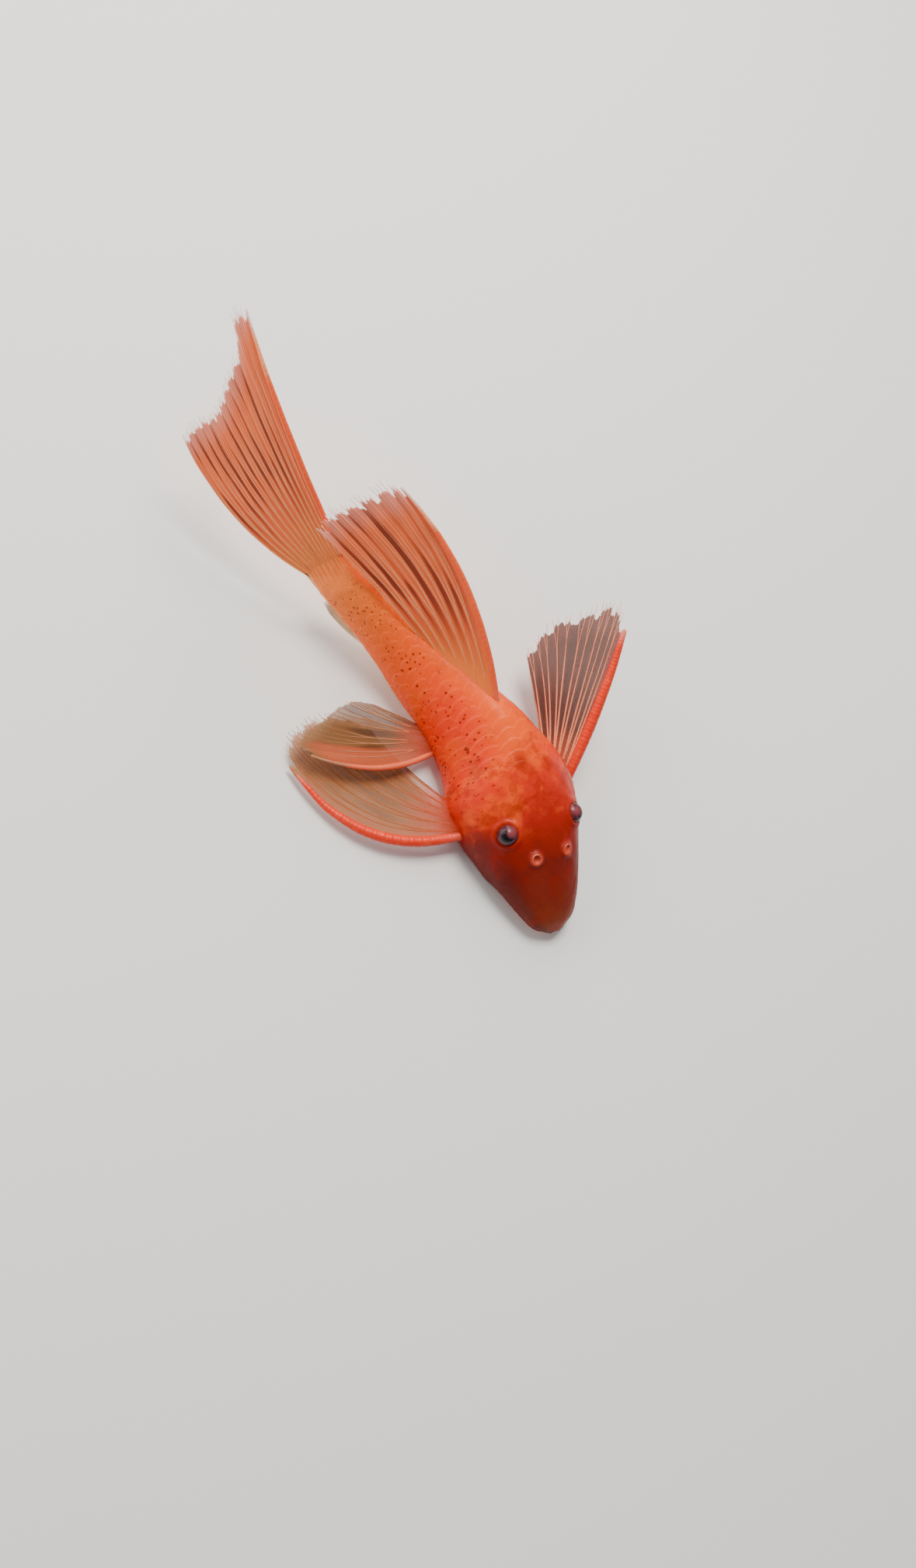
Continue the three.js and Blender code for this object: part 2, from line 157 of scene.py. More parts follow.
half_width = profile([
    (0, 0.012), (0.02, 0.05), (0.05, 0.07), (0.1, 0.092), (0.15, 0.111), (0.2, 0.129), (0.25, 0.145),
    (0.3, 0.153), (0.36, 0.143), (0.44, 0.116), (0.55, 0.087), (0.65, 0.064), (0.75, 0.048), (0.85, 0.039),
    (1, 0.029),
])
back_height = profile([
    (0, 0.038), (0.02, 0.065), (0.05, 0.09), (0.1, 0.118), (0.15, 0.141), (0.2, 0.159), (0.25, 0.174),
    (0.3, 0.189), (0.38, 0.206), (0.46, 0.212), (0.55, 0.196), (0.65, 0.173), (0.75, 0.158), (0.85, 0.151),
    (1, 0.15),
])
belly_height = profile([
    (0, 0.025), (0.02, 0.023), (0.125, 0.023), (0.17, -0.012), (0.6, -0.012), (0.75, 0.012), (0.85, 0.03),
    (1, 0.043),
])
widest_height = profile([(0, 0.031), (0.1, 0.046), (0.3, 0.056), (0.5, 0.068), (0.75, 0.088), (1, 0.097)])
upper_squareness = profile([(0, 2.1), (0.3, 2.05), (0.5, 1.75), (0.7, 1.9), (1, 2.3)])
lower_squareness = profile([(0, 2.2), (0.2, 3.2), (0.4, 2.8), (0.6, 2.2), (1, 2.1)])

# Bent body axis
AXIS_STEP = 0.005
AXIS_START = -0.1
AXIS_COUNT = 400


def heading(station):
    swing = TRUNK_SWING * smooth(station, 0.25, 0.62) + (TAIL_SWING - TRUNK_SWING) * smooth(station, 0.62, 1)
    lift = TAIL_RAISE * smooth(station, 0.5, 1)
    return np.stack([-np.sin(swing) * np.cos(lift), np.cos(swing) * np.cos(lift), np.sin(lift)], -1)


axis_stations = AXIS_START + np.arange(AXIS_COUNT) * AXIS_STEP
axis_points = np.zeros((AXIS_COUNT, 3))
axis_points[1:] = np.cumsum(heading(axis_stations[1:] - AXIS_STEP / 2), axis=0) * AXIS_STEP * LENGTH
axis_points[:, 1] += (AXIS_START - ORIGIN_STATION) * LENGTH


def frame_at(station):
    station = np.asarray(station, float)
    centre = np.stack([np.interp(station, axis_stations, axis_points[:, k]) for k in range(3)], -1)
    centre[..., 2] += AXIS_HEIGHT * LENGTH
    back = heading(station)
    level = unit(np.cross(back, [0, 0, 1]))
    upright = np.cross(level, back)
    roll = (TAIL_ROLL * smooth(station, 0.3, 1))[..., None]
    left = level * np.cos(roll) + upright * np.sin(roll)
    up = upright * np.cos(roll) - level * np.sin(roll)
    return centre, back, left, up


def place(station, left_share, height):
    centre, _, left, up = frame_at(station)
    sideways = np.asarray(left_share)[..., None] * LENGTH
    upward = (np.asarray(height)[..., None] - AXIS_HEIGHT) * LENGTH
    return centre + left * sideways + up * upward


# Meshes
def grid_faces(rows, columns, closed=False, looped=False):
    """Quads of a grid; closed joins its end columns, looped its end rows."""
    row_range = np.arange(rows if looped else rows - 1)
    column_range = np.arange(columns if closed else columns - 1)
    i, j = np.meshgrid(row_range, column_range, indexing="ij")
    i_next = (i + 1) % rows
    j_next = (j + 1) % columns
    corners = [i * columns + j, i * columns + j_next, i_next * columns + j_next, i_next * columns + j]
    return np.stack(corners, -1).reshape(-1, 4)


def cap_faces(ring, hub):
    """Triangles between a ring of corners and the one corner at its hub."""
    return np.stack([np.full(len(ring), hub), np.roll(ring, -1), ring], -1)


def sheet(points_above, points_below):
    """Vertices and faces of a thin closed sheet from its two faces."""
    rows, columns = points_above.shape[:2]
    count = rows * columns
    border = np.concatenate([
        np.arange(columns), np.arange(1, rows) * columns + columns - 1,
        (rows - 1) * columns + np.arange(columns - 2, -1, -1), np.arange(rows - 2, 0, -1) * columns,
    ])
    following = np.roll(border, -1)
    quads = grid_faces(rows, columns)
    sides = np.stack([following, border, border + count, following + count], -1)
    faces = np.concatenate([quads, quads[:, ::-1] + count, sides])
    return np.concatenate([points_above.reshape(-1, 3), points_below.reshape(-1, 3)]), faces


def make_piece(name, points, faces, materials, mark=None, face_material=None):
    """One smooth mesh object; faces is a list of arrays, each with its own corner count."""
    mesh = bpy.data.meshes.new(name)
    mesh.vertices.add(len(points))
    mesh.vertices.foreach_set("co", np.asarray(points, np.float32).ravel())
    corners = np.concatenate([part.ravel() for part in faces])
    counts = np.concatenate([np.full(len(part), part.shape[1]) for part in faces])
    mesh.loops.add(len(corners))
    mesh.loops.foreach_set("vertex_index", corners.astype(np.int32))
    mesh.polygons.add(len(counts))
    starts = np.concatenate([[0], np.cumsum(counts)[:-1]])
    mesh.polygons.foreach_set("loop_start", starts.astype(np.int32))
    mesh.polygons.foreach_set("use_smooth", np.ones(len(counts), bool))
    for material in materials:
        mesh.materials.append(material)
    if face_material is not None:
        mesh.polygons.foreach_set("material_index", np.asarray(face_material, np.int32))
    if mark is not None:
        attribute = mesh.attributes.new("mark", "FLOAT_VECTOR", "POINT")
        attribute.data.foreach_set("vector", np.asarray(mark, np.float32).ravel())
    mesh.update(calc_edges=True)
    mesh.validate()
    piece = add_object(name, mesh)
    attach(piece, "root")
    return piece


WAVE_COUNT = 10


def make_wave(scale):
    """A smooth seeded function of place, of about -1 to 1, with waves about scale long."""
    ways = unit(draw.normal(size=(WAVE_COUNT, 3))) * 2 * np.pi / scale
    ways = ways * draw.uniform(0.6, 1.6, (WAVE_COUNT, 1))
    phases = draw.uniform(0, 2 * np.pi, WAVE_COUNT)
    return lambda points: np.sin(points @ ways.T + phases).sum(-1) / np.sqrt(WAVE_COUNT)


def ripple(points, scale):
    return make_wave(scale)(points)


# Materials; noises and cells are counted per metre where they follow the place
def hue(red, green, blue):
    """Linear colour of an 8-bit display colour."""
    share = np.array([red, green, blue]) / 255
    linear = np.where(share <= 0.04045, share / 12.92, ((share + 0.055) / 1.055) ** 2.4)
    return (*linear, 1.0)


class Nodes:
    """Short forms for building one material's node tree."""

    def __init__(self, name):
        self.material = bpy.data.materials.new(name)
        self.material.use_nodes = True
        self.tree = self.material.node_tree
        self.shader = self.tree.nodes["Principled BSDF"]

    def add(self, kind, inputs=(), **settings):
        """A node with these settings, its first sockets fed in order."""
        node = self.tree.nodes.new(kind)
        for key, value in settings.items():
            setattr(node, key, value)
        for socket, value in zip(node.inputs, inputs):
            self.feed(socket, value)
        return node

    def feed(self, socket, value):
        if isinstance(value, bpy.types.NodeSocket):
            self.tree.links.new(value, socket)
        elif value is not None:
            socket.default_value = value

    def fill(self, node, **values):
        """Feeds the node's sockets of these names, where _ stands for a space."""
        for key, value in values.items():
            self.feed(node.inputs[key.replace("_", " ")], value)

    def set(self, **values):
        self.fill(self.shader, **values)

    def math(self, operation, a, b=None, c=None):
        return self.add("ShaderNodeMath", (a, b, c), operation=operation).outputs[0]

    def times(self, product, *others):
        for other in others:
            product = self.math("MULTIPLY", product, other)
        return product

    def reach(self, x, y):
        return self.math("SQRT", self.math("ADD", self.times(x, x), self.times(y, y)))

    def band(self, value, low, high, to_low=0.0, to_high=1.0):
        inputs = (value, low, high, to_low, to_high)
        return self.add("ShaderNodeMapRange", inputs, interpolation_type="SMOOTHSTEP").outputs[0]

    def mix(self, share, a, b):
        """Colour a, mixed with colour b by share; 6, 7 and 2 are the node's colour sockets."""
        node = self.add("ShaderNodeMix", data_type="RGBA")
        self.feed(node.inputs["Factor"], share)
        self.feed(node.inputs[6], a)
        self.feed(node.inputs[7], b)
        return node.outputs[2]

    def tint(self, base, area, strength, colour):
        """The base colour with up to strength of another one over an area of 0 to 1."""
        return self.mix(self.times(area, strength), base, colour)

    def ramp(self, value, stops):
        node = self.add("ShaderNodeValToRGB", (value,))
        elements = node.color_ramp.elements
        while len(elements) < len(stops):
            elements.new(0.5)
        for element, (at, color) in zip(elements, stops):
            element.position = at
            element.color = color
        return node.outputs[0]

    def mark(self):
        attribute = self.add("ShaderNodeAttribute", attribute_name="mark")
        split = self.add("ShaderNodeSeparateXYZ", (attribute.outputs["Vector"],))
        return split.outputs[0], split.outputs[1], split.outputs[2]

    def vector(self, x, y, z):
        return self.add("ShaderNodeCombineXYZ", (x, y, z)).outputs[0]

    def place(self):
        return self.add("ShaderNodeTexCoord").outputs["Object"]

    def noise(self, at, scale, detail, rough=0.5):
        node = self.add("ShaderNodeTexNoise")
        self.fill(node, Vector=at, Scale=scale, Detail=detail, Roughness=rough)
        return node.outputs[0]

    def cells(self, at, scale, random=1.0):
        node = self.add("ShaderNodeTexVoronoi")
        self.fill(node, Vector=at, Scale=scale, Randomness=random)
        return node.outputs["Distance"]

    def bump(self, height, distance, strength):
        node = self.add("ShaderNodeBump")
        self.fill(node, Height=height, Distance=distance, Strength=strength)
        self.set(Normal=node.outputs[0])


# Dark specks of the flank: cells along the body, and from back to belly
SPECK_COLUMNS = 70
SPECK_ROWS = 21
SPECK_CROWDING = 1.05

# Streaks at the end of the stalk, in radians of their wave from back to belly
STREAK_TURNS = 95


def skin_material():
    """Red head with painted shade on its lower sides, orange flanks with dark specks, a stalk paled partly by
    painted light, cream belly; small spines as bump.
    """
    n = Nodes("skin")
    station, around, relief = n.mark()
    at = n.place()
    broad = n.noise(at, 130, 3)
    fine = n.noise(at, 420, 4)
    # Colour along the body, dark red at the head to pale orange at the stalk; the paling towards the tail is
    # partly the fish's own colour and partly painted light.
    wander = n.math("MULTIPLY_ADD", broad, 0.16, n.math("SUBTRACT", station, 0.08))
    coloured = n.ramp(wander, [
        (0.0, hue(146, 58, 28)), (0.07, hue(124, 36, 20)), (0.15, hue(118, 26, 17)), (0.22, hue(166, 30, 16)),
        (0.29, hue(204, 42, 16)), (0.36, hue(230, 46, 4)), (0.55, hue(244, 54, 1)), (0.74, hue(250, 90, 12)),
        (0.88, hue(253, 120, 42)), (1.0, hue(254, 138, 66)),
    ])
    near_back = n.times(n.band(around, 0.27, 0.04), n.band(station, 0.3, 0.46))
    coloured = n.tint(coloured, near_back, 0.75, hue(252, 98, 2))
    patches = n.times(n.band(broad, 0.48, 0.62), n.band(station, 0.2, 0.3))
    coloured = n.tint(coloured, patches, 0.6, hue(250, 84, 10))
    # Painted shade: the head's sides and underside, from the snout back to the gill covers, darkened towards
    # a dark red-brown.
    painted_cheek_shade = n.times(n.band(around, 0.2, 0.42), n.band(station, 0.3, 0.22))
    coloured = n.tint(coloured, painted_cheek_shade, 0.7, hue(84, 14, 8))
    nape = n.times(n.band(station, 0.19, 0.27), n.band(station, 0.52, 0.38))
    mottles = n.times(n.band(n.noise(at, 330, 2), 0.46, 0.7), nape)
    coloured = n.tint(coloured, mottles, 0.55, hue(248, 92, 18))
    clots = n.times(n.band(n.noise(at, 260, 3, 0.6), 0.5, 0.62), nape)
    coloured = n.tint(coloured, clots, 0.45, hue(150, 16, 4))
    shade = n.times(n.band(n.noise(at, 230, 3), 0.52, 0.7), n.band(station, 0.55, 0.35, 0.12, 0.5))
    coloured = n.mix(shade, coloured, hue(150, 14, 3))
    girth = n.vector(n.times(station, SPECK_COLUMNS), n.times(around, SPECK_ROWS), 0.0)
    size = n.times(fine, 0.56)
    specks = n.band(n.cells(girth, SPECK_CROWDING), size, n.times(size, 0.45))
    flank = n.times(n.band(station, 0.24, 0.4), n.band(around, 0.1, 0.24), n.band(station, 0.98, 0.9))
    coloured = n.tint(coloured, n.times(specks, flank), 0.8, hue(104, 14, 6))
    streaks = n.band(n.math("SINE", n.times(around, STREAK_TURNS)), 0.2, 0.9)
    streaks = n.times(streaks, n.band(station, 0.935, 0.985, 0.0, 0.5))
    coloured = n.mix(streaks, coloured, hue(196, 74, 30))
    under = n.band(n.math("MULTIPLY_ADD", broad, 0.08, around), 0.79, 0.9)
    coloured = n.mix(under, coloured, hue(246, 176, 126))
    plate_edge = n.band(relief, 0.0, 1.0)
    coloured = n.tint(coloured, plate_edge, 0.09, hue(246, 150, 96))
    nostril = n.band(relief, 0.0, -1.0)
    coloured = n.tint(coloured, nostril, 0.7, hue(222, 84, 56))
    n.set(Base_Color=coloured, Roughness=n.band(fine, 0.3, 0.8, 0.36, 0.52), Specular_IOR_Level=0.12)
    n.set(Subsurface_Weight=0.08, Subsurface_Scale=0.0015, Subsurface_Radius=(1.0, 0.3, 0.15))
    n.set(Coat_Weight=0.04, Coat_Roughness=0.14)
    prickles = n.math("SUBTRACT", 1.0, n.cells(at, 3300))
    n.bump(n.math("ADD", prickles, n.times(fine, 1.2)), 0.05 * MM, 0.55)
    return n.material


def eye_material():
    """Dark ball with a purple-brown iris whose upper lobe hangs into the pupil."""
    n = Nodes("eye")
    x, y, _ = n.mark()
    reach = n.reach(x, y)
    lobe = n.reach(x, n.math("SUBTRACT", y, 0.5))
    flecks = n.noise(n.place(), 2600, 3)
    iris = n.ramp(reach, [
        (0.0, hue(34, 14, 28)), (0.45, hue(48, 22, 38)), (0.6, hue(88, 44, 58)), (0.76, hue(52, 22, 34)),
        (0.9, hue(104, 26, 20)), (1.0, hue(130, 20, 10)),
    ])
    iris = n.tint(iris, n.band(flecks, 0.5, 0.7), 0.5, hue(120, 70, 84))
    patch = n.band(n.math("MULTIPLY_ADD", flecks, 0.3, lobe), 0.8, 0.3)
    iris = n.tint(iris, patch, 0.7, hue(146, 62, 66))
    pupil = n.times(n.band(reach, 0.62, 0.5), n.band(lobe, 0.42, 0.56))
    n.set(Base_Color=n.mix(pupil, iris, hue(8, 4, 10)))
    n.set(Roughness=0.4, Coat_Weight=0.3, Coat_Roughness=0.04, Specular_IOR_Level=0.15)
    return n.material


def mouth_material():
    """Soft pink lips covered with small warts."""
    n = Nodes("lips")
    at = n.place()
    fine = n.noise(at, 900, 3)
    n.set(Base_Color=n.mix(fine, hue(232, 150, 120), hue(206, 96, 72)))
    n.set(Roughness=0.38, Subsurface_Weight=0.2, Subsurface_Scale=0.002, Coat_Weight=0.25)
    n.bump(n.cells(at, 2600, random=0.6), 0.08 * MM, 0.7)
    return n.material


def flap_material():
    """Pale pink skin of the nostril flaps."""
    n = Nodes("nostril_flap")
    fine = n.noise(n.place(), 1500, 2)
    n.set(Base_Color=n.mix(fine, hue(240, 124, 94), hue(212, 74, 48)))
    n.set(Roughness=0.34, Subsurface_Weight=0.25, Subsurface_Scale=0.001, Coat_Weight=0.2)
    return n.material


def membrane_material(name, colours, front, front_end, gaps, alpha):
    """Thin fin skin: root and edge colours, a front web, and dark slits midway between the rays."""
    n = Nodes(name)
    out, across, _ = n.mark()
    root, middle, edge, dark = colours
    uneven = n.noise(n.vector(across, 0.0, 0.0), 0.8, 1)
    fade = n.math("MULTIPLY_ADD", uneven, 0.14, n.math("SUBTRACT", out, 0.07))
    base = n.ramp(fade, [(0.0, root), (0.1, root), (0.34, middle), (0.84, middle), (1.0, edge)])
    web = n.times(n.band(across, front_end, front_end - 0.4), n.band(out, 0.1, 0.4), n.band(out, 1.0, 0.8))
    base = n.tint(base, web, 0.8, front)
    wander = n.noise(n.vector(n.times(across, 1.3), out, 0.0), 1.0, 2)
    shifted = n.math("MULTIPLY_ADD", wander, 0.24, n.math("SUBTRACT", across, 0.12))
    patchy = n.noise(n.vector(n.times(across, 0.7), n.times(out, 1.6), 4.0), 1.3, 2)
    narrow = n.band(patchy, 0.36, 0.66, 0.43, 0.21)
    gap = n.band(n.math("PINGPONG", shifted, 0.5), narrow, n.math("ADD", narrow, 0.09))
    gap = n.times(gap, n.band(patchy, 0.34, 0.56, 0.25, 1.0))
    inside = n.times(n.band(out, 0.1, 0.5), n.band(out, 1.02, 0.84))
    inside = n.times(inside, n.band(across, front_end - 0.7, front_end))
    base = n.tint(base, n.times(gap, inside), gaps, dark)
    thin = n.vector(n.times(across, 9.0), n.times(out, 1.5), 0.0)
    hair = n.band(n.noise(thin, 1.0, 3), 0.44, 0.66)
    base = n.tint(base, hair, 0.13, dark)
    n.set(Base_Color=base, Roughness=0.5, Alpha=alpha, Specular_IOR_Level=0.15)
    n.bump(n.noise(thin, 2.0, 3), 0.06 * MM, 0.5)
    return n.material


RAY_JOINTS = 46


def ray_material(name, root, middle, tip, spine):
    """Jointed fin rays, paler to the tips, and the spine's own colour with pink ends."""
    n = Nodes(name)
    out, _, thick = n.mark()
    fine = n.noise(n.place(), 900, 3)
    base = n.ramp(out, [(0.0, root), (0.45, middle), (0.86, middle), (1.0, tip)])
    base = n.tint(base, n.band(fine, 0.45, 0.7), 0.35, root)
    joints = n.math("SINE", n.times(out, RAY_JOINTS * 2 * np.pi))
    base = n.tint(base, n.band(joints, 0.7, 1.0), 0.3, root)
    ends = n.math("MAXIMUM", n.band(out, 0.16, 0.04, 0.0, 0.2), n.band(out, 0.88, 1.0, 0.0, 0.65))
    rod = n.mix(ends, spine, hue(242, 150, 128))
    rod = n.tint(rod, n.band(fine, 0.5, 0.75), 0.4, hue(240, 110, 60))
    base = n.mix(n.band(thick, 0.3, 0.36), base, rod)
    n.set(Base_Color=base, Roughness=0.42, Coat_Weight=0.08, Coat_Roughness=0.2, Specular_IOR_Level=0.3)
    n.set(Subsurface_Weight=0.1, Subsurface_Scale=0.001)
    n.bump(n.math("ADD", n.times(joints, 0.5), fine), 0.04 * MM, 0.6)
    return n.material


def floor_material():
    n = Nodes("floor")
    n.set(Base_Color=hue(246, 245, 242), Roughness=0.9)
    return n.material


# Skin
SKIN_ROWS = 640
SKIN_COLUMNS = 320
SNOUT_CROWDING = 1.25
PLATE_START = 0.335
PLATE_LENGTH = 0.0265
PLATE_RELIEF = 0.052 * MM
PLATE_BULGE = 0.34
PLATE_ROW_EDGES = np.array([0.0, 0.15, 0.3, 0.47, 0.64, 0.84])

# The stalk thins to a blade between these stations, where the tail fin's rays begin
STALK_THINNING = 0.97
THINNING_START = 0.92
THINNING_END = 1.005

# Half length of the rise under an eye, and half its arc round the body
ORBIT_LENGTH = 0.036
ORBIT_ARC = 0.3

# About how many millimetres of skin there are along the body, and from back to belly
SKIN_SPANS = np.array([70, 26])

# Rises and depths of the skin's small forms
SEAM_DEPTH = 0.03 * MM
GILL_COVER_RISE = 0.07 * MM
SNOUT_RIM_RISE = 0.12 * MM
SHOULDER_RISE = 0.35 * MM
DORSAL_RIDGE_RISE = 0.3 * MM
BELLY_FOLD_RISE = 0.04 * MM
EYE_RIM_RISE = 0.2 * MM
EYE_SOCKET_DEPTH = 0.95 * MM
NOSTRIL_RIM_RISE = 0.34 * MM
NOSTRIL_DEPTH = 0.05 * MM


def bare_skin(station, angle):
    """The smooth body surface, before its small forms."""
    cos = np.cos(angle)
    sin = np.sin(angle)
    power = 2 / np.where(sin > 0, upper_squareness(station), lower_squareness(station))
    middle = widest_height(station)
    reach = np.where(sin > 0, back_height(station) - middle, middle - belly_height(station))
    blade = 1 - STALK_THINNING * smooth(station, THINNING_START, THINNING_END)
    across = half_width(station) * blade * np.sign(cos) * np.abs(cos) ** power
    along = middle + reach * np.sign(sin) * np.abs(sin) ** power
    lean = np.arctan2(sin, np.abs(cos))
    orbit = hump(station, EYE_STATION, ORBIT_LENGTH) * hump(lean, EYE_ANGLE, ORBIT_ARC)
    orbit = orbit * ORBIT_RISE / LENGTH
    points = place(station, across + orbit * cos, along + orbit * sin)
    points[..., 2] = np.maximum(points[..., 2], 0)
    return points


def skin_seat(station, angle):
    """A point of the smooth skin, and the way it faces."""
    step = 0.01
    stations = station + step * np.array([0, 1, -1, 0, 0])
    angles = angle + step * np.array([0, 0, 0, 1, -1])
    point, behind, before, above, below = bare_skin(stations, angles)
    facing = unit(np.cross(above - below, behind - before))
    return point, facing * np.sign(facing[2])


def side_angle(side, angle):
    return angle if side > 0 else np.pi - angle


def line_distance(station, around, course):
    """Distance in millimetres to a line drawn on the skin through (station, around) points."""
    here = np.stack([station, around], -1) * SKIN_SPANS
    knots = np.array(course) * SKIN_SPANS
    nearest = np.full(station.shape, np.inf)
    for start, end in zip(knots[:-1], knots[1:]):
        span = end - start
        t = np.clip(((here - start) @ span) / (span @ span), 0, 1)
        nearest = np.minimum(nearest, np.linalg.norm(here - start - t[..., None] * span, axis=-1))
    return nearest


# Lines between the bones of the head, as (station, share from back to belly)
HEAD_SEAMS = [
    [(0.285, 0.0), (0.27, 0.1), (0.25, 0.18), (0.262, 0.27)],
    [(0.335, 0.0), (0.318, 0.08), (0.3, 0.17), (0.305, 0.26), (0.325, 0.33)],
    [(0.13, 0.1), (0.17, 0.12), (0.205, 0.13), (0.25, 0.18)],
    [(0.262, 0.27), (0.27, 0.36), (0.28, 0.44), (0.285, 0.55)],
    [(0.19, 0.3), (0.2, 0.38), (0.23, 0.46), (0.245, 0.56)],
    [(0.07, 0.16), (0.12, 0.26), (0.16, 0.33), (0.2, 0.38)],
]
GILL_COVER_EDGE = [(0.262, 0.3), (0.272, 0.4), (0.285, 0.5), (0.29, 0.62)]


def plate_relief(station, around):
    """Overlapping plates in rows along the flank, each risen to its rear edge, and their edges."""
    row = np.clip(np.searchsorted(PLATE_ROW_EDGES, around, side="right") - 1, 0, len(PLATE_ROW_EDGES) - 2)
    low = PLATE_ROW_EDGES[row]
    high = PLATE_ROW_EDGES[row + 1]
    across = np.clip((around - low) / (high - low), 0, 1)
    bulge = PLATE_BULGE * (1 - (2 * across - 1) ** 2)
    step = (station - PLATE_START) / PLATE_LENGTH - bulge + 0.5 * (row % 2)
    share = step - np.floor(step)
    rise = share ** 1.4 * (1 - smooth(share, 0.9, 1.0))
    keel = 0.5 * (1 - np.abs(2 * across - 1)) ** 1.5
    tail = smooth(station, 0.68, 0.8)
    seen = smooth(station, 0.335, 0.39) * (1 - smooth(station, 0.975, 1.0))
    seen = seen * (1 - smooth(around, 0.8, 0.86) * (1 - tail))
    return (rise + keel) * seen, smooth(share, 0.72, 0.9) * seen * (1 - smooth(share, 0.93, 1.0))


def small_forms(points, station, around):
    """Rise of the ripples, bone lines, rims and folds over the smooth skin."""
    lift = 0.07 * MM * ripple(points, 9 * MM)
    lift += 0.022 * MM * ripple(points, 2.6 * MM)
    head = 1 - smooth(station, 0.3, 0.34)
    for course in HEAD_SEAMS:
        lift -= SEAM_DEPTH * hump(line_distance(station, around, course), 0, 0.4) * head
    cover = line_distance(station, around, GILL_COVER_EDGE)
    lift += GILL_COVER_RISE * hump(cover, 0.55, 0.45) * (1 - smooth(station, 0.26, 0.3))
    rim = hump(around, 0.545, 0.05) * (1 - smooth(station, 0.12, 0.2))
    lift += SNOUT_RIM_RISE * rim * (1 + 0.25 * ripple(points, 1.6 * MM))
    lift += SHOULDER_RISE * hump(station, 0.335, 0.03) * hump(around, 0.45, 0.1)
    behind = 1 - smooth(station, 0.6, 0.7)
    lift += DORSAL_RIDGE_RISE * hump(around, 0.0, 0.09) * smooth(station, 0.43, 0.48) * behind
    folds = np.sin(station * 260 + 3 * ripple(points, 7 * MM)) * smooth(around, 0.86, 0.95)
    return lift + BELLY_FOLD_RISE * folds * smooth(station, 0.14, 0.2) * behind


def organ_forms(points):
    """Rise of the skin round the eyes and nostrils, and a share that is 1 in the nostrils."""
    lift = np.zeros(points.shape[:-1])
    hollow = np.zeros(points.shape[:-1])
    for side in (-1, 1):
        eye, _ = skin_seat(EYE_STATION, side_angle(side, EYE_ANGLE))
        far = np.linalg.norm(points - eye, axis=-1) / MM
        lift += EYE_RIM_RISE * hump(far, 2.05, 0.4)
        lift -= EYE_SOCKET_DEPTH * (1 - smooth(far, 1.05, 1.75))
        nose, _ = skin_seat(NOSTRIL_STATION, side_angle(side, NOSTRIL_ANGLE))
        near = np.linalg.norm(points - nose, axis=-1) / MM
        lift += NOSTRIL_RIM_RISE * hump(near, 0.9, 0.42)
        lift -= NOSTRIL_DEPTH * plateau(near, 0.5)
        hollow += plateau(near, 1.05)
    return lift, hollow


def make_skin(material):
    stations = np.linspace(0, 1, SKIN_ROWS) ** SNOUT_CROWDING
    angles = np.linspace(0, 2 * np.pi, SKIN_COLUMNS, endpoint=False)
    station, angle = np.meshgrid(stations, angles, indexing="ij")
    points = bare_skin(station, angle)
    along = np.gradient(points, axis=0)
    beside = np.roll(points, -1, 1) - np.roll(points, 1, 1)
    normal = np.cross(beside, along)
    normal /= np.maximum(np.linalg.norm(normal, axis=-1, keepdims=True), 1e-15)
    outward = points - points.mean(axis=1, keepdims=True)
    normal *= np.sign(np.median((outward * normal).sum(-1)))
    around = 0.5 - np.arctan2(np.sin(angle), np.abs(np.cos(angle))) / np.pi

    plates, plate_edges = plate_relief(station, around)
    organs, hollow = organ_forms(points)
    lift = plates * PLATE_RELIEF + small_forms(points, station, around) + organs
    points = points + normal * lift[..., None]
    points[..., 2] = np.maximum(points[..., 2], 0)

    count = SKIN_ROWS * SKIN_COLUMNS
    first_ring = np.arange(SKIN_COLUMNS)
    last_ring = first_ring + count - SKIN_COLUMNS
    ends = [points[0].mean(axis=0), points[-1].mean(axis=0)]
    mark = np.stack([station, around, plate_edges - hollow], -1).reshape(-1, 3)
    faces = [
        grid_faces(SKIN_ROWS, SKIN_COLUMNS, closed=True),
        cap_faces(first_ring, count),
        cap_faces(last_ring, count + 1)[:, ::-1],
    ]
    skin = make_piece(
        "skin", np.concatenate([points.reshape(-1, 3), ends]), faces, [material],
        np.concatenate([mark, [(0, 0.5, 0), (1, 0.5, 0)]]),
    )
    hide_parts("head", "trunk", "tail_stalk")


# Eyes
EYE_ROWS = 56
EYE_COLUMNS = 72
EYE_INSET = 0.012
CORNEA_RISE = 0.035
CORNEA_ARC = 0.55


def square_to(facing, way):
    """The unit vector nearest to way that is square to facing."""
    way = np.array(way, float)
    return unit(way - facing * (facing @ way))


def make_eye(side, name, node, material):
    seat, facing = skin_seat(EYE_STATION, side_angle(side, EYE_ANGLE))
    centre = seat + facing * (EYE_SHOWING - EYE_RADIUS)
    upward = square_to(facing, (-side * 0.55, 0.15, 1.0))
    sideways = np.cross(upward, facing)
    polar = np.linspace(0, np.pi, EYE_ROWS)[:, None]
    turn = np.linspace(0, 2 * np.pi, EYE_COLUMNS, endpoint=False)[None, :]
    across = np.sin(polar)
    sphere = np.stack(np.broadcast_arrays(across * np.cos(turn), across * np.sin(turn), np.cos(polar)), -1)
    radius = EYE_RADIUS * (1 - EYE_INSET + CORNEA_RISE * plateau(polar, CORNEA_ARC))
    points = centre + radius[..., None] * (sphere @ np.array([sideways, upward, facing]))
    piece = make_piece(
        name, points.reshape(-1, 3), [grid_faces(EYE_ROWS, EYE_COLUMNS, closed=True)], [material],
        sphere.reshape(-1, 3),
    )
    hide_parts(node)


# Nostril flaps: a curled frill standing on the rear rim of each nostril
FLAP_ROWS = 18
FLAP_COLUMNS = 40
FLAP_ARC = 0.62 * np.pi
FLAP_HALF_THICKNESS = 0.11 * MM
FLAP_SUNK = 0.28 * MM


